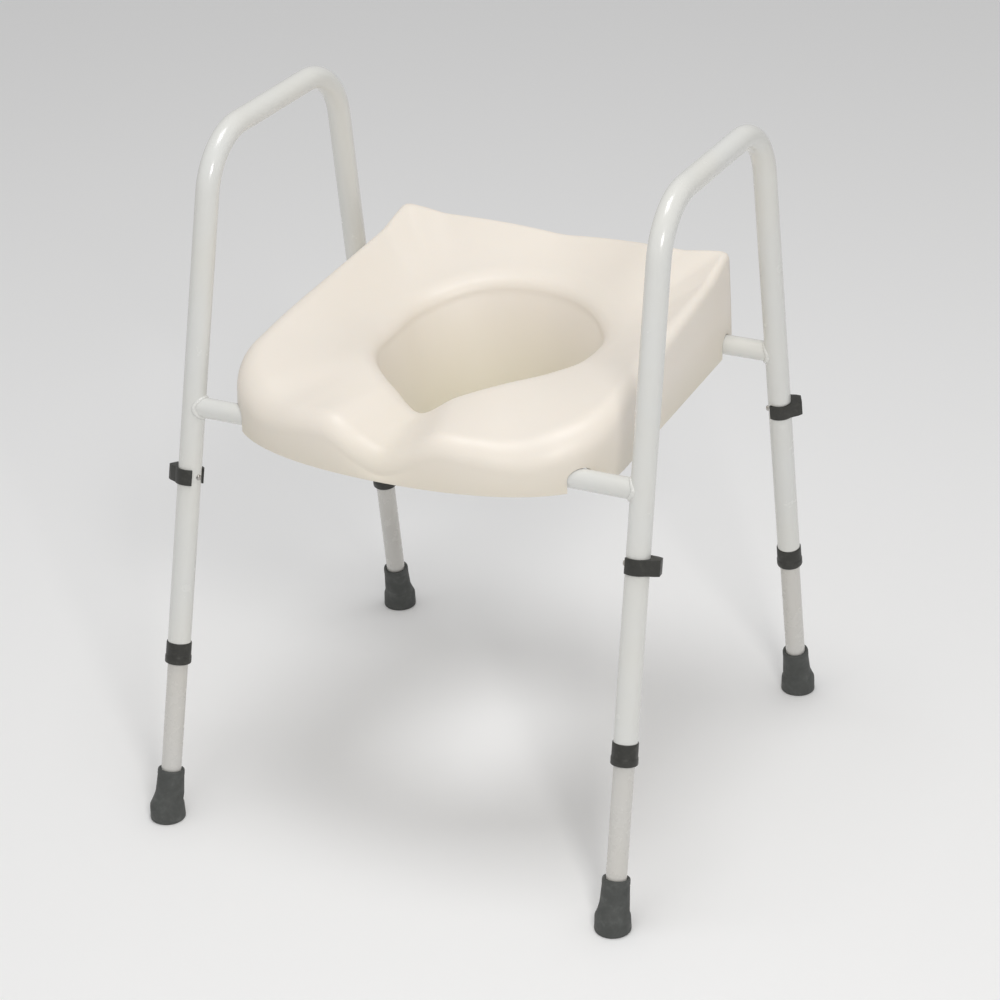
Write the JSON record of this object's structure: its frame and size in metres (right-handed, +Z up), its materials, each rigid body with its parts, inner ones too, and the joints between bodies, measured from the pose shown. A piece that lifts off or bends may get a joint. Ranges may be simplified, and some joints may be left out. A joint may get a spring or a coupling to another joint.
{
  "type": "raised toilet seat",
  "caption": "Contoured over-toilet seat with a splash guard, lifting off a welded tube frame with arm rests and height-adjustable legs held by pin clips.",
  "frame": {"origin": "on the floor, midway between the four feet", "axes": "+Z up, +Y towards the back of the toilet, +X to the right as seen from the front"},
  "size_m": [0.579, 0.579, 0.7512],
  "materials": {
    "frame_paint": "glossy white powder coat",
    "leg_paint": "white powder coat, slightly greyer",
    "black_plastic": "black moulded nylon",
    "ferrule_rubber": "dark grey moulded rubber",
    "zinc_steel": "zinc plated",
    "pin_steel": "plain steel",
    "white_plastic": "white moulded nylon",
    "seat_plastic": "glossy cream moulded plastic"
  },
  "bodies": {
    "frame": {"side_tube_left": "frame_paint", "side_tube_right": "frame_paint", "front_rail": "frame_paint", "back_rail": "frame_paint", "rail_weld_front_left": "frame_paint", "end_collar_front_left": "black_plastic", "rail_weld_front_right": "frame_paint", "end_collar_front_right": "black_plastic", "rail_weld_back_left": "frame_paint", "end_collar_back_left": "black_plastic", "rail_weld_back_right": "frame_paint", "end_collar_back_right": "black_plastic"},
    "leg_front_left": {"inner_leg_front_left": "leg_paint", "ferrule_front_left": "ferrule_rubber", "ferrule_washer_front_left": "zinc_steel"},
    "clip_front_left": {"clip_band_front_left": "black_plastic", "clip_pin_front_left": "pin_steel"},
    "leg_front_right": {"inner_leg_front_right": "leg_paint", "ferrule_front_right": "ferrule_rubber", "ferrule_washer_front_right": "zinc_steel"},
    "clip_front_right": {"clip_band_front_right": "black_plastic", "clip_pin_front_right": "pin_steel"},
    "leg_back_left": {"inner_leg_back_left": "leg_paint", "ferrule_back_left": "ferrule_rubber", "ferrule_washer_back_left": "zinc_steel"},
    "clip_back_left": {"clip_band_back_left": "black_plastic", "clip_pin_back_left": "pin_steel"},
    "leg_back_right": {"inner_leg_back_right": "leg_paint", "ferrule_back_right": "ferrule_rubber", "ferrule_washer_back_right": "zinc_steel"},
    "clip_back_right": {"clip_band_back_right": "black_plastic", "clip_pin_back_right": "pin_steel"},
    "seat": {"seat_shell": "seat_plastic", "seat_saddle_front_left": "white_plastic", "seat_saddle_front_right": "white_plastic", "seat_saddle_back_left": "white_plastic", "seat_saddle_back_right": "white_plastic", "seat_screws": "zinc_steel"}
  },
  "joints": [
    {"name": "leg_height_front_left", "type": "slide", "parent": "frame", "child": "leg_front_left", "axis": [0.0178, 0.2212, 0.9751], "range_m": [-0.05, 0.1]},
    {"name": "clip_pull_front_left", "type": "slide", "parent": "frame", "child": "clip_front_left", "axis": [-0.9791, 0.2017, -0.0278], "range_m": [0, 0.032], "deforming": ["clip_band_front_left"]},
    {"name": "leg_height_front_right", "type": "slide", "parent": "frame", "child": "leg_front_right", "axis": [-0.0178, 0.2212, 0.9751], "range_m": [-0.05, 0.1]},
    {"name": "clip_pull_front_right", "type": "slide", "parent": "frame", "child": "clip_front_right", "axis": [0.9791, 0.2017, -0.0278], "range_m": [0, 0.032], "deforming": ["clip_band_front_right"]},
    {"name": "leg_height_back_left", "type": "slide", "parent": "frame", "child": "leg_back_left", "axis": [0.0121, -0.1486, 0.9888], "range_m": [-0.05, 0.1]},
    {"name": "clip_pull_back_left", "type": "slide", "parent": "frame", "child": "clip_back_left", "axis": [-0.8928, 0.4437, 0.0776], "range_m": [0, 0.032], "deforming": ["clip_band_back_left"]},
    {"name": "leg_height_back_right", "type": "slide", "parent": "frame", "child": "leg_back_right", "axis": [-0.0121, -0.1486, 0.9888], "range_m": [-0.05, 0.1]},
    {"name": "clip_pull_back_right", "type": "slide", "parent": "frame", "child": "clip_back_right", "axis": [0.8928, 0.4437, 0.0776], "range_m": [0, 0.032], "deforming": ["clip_band_back_right"]},
    {"name": "seat_lift", "type": "slide", "parent": "frame", "child": "seat", "axis": [0, 0, 1], "range_m": [0, 0.17]}
  ]
}
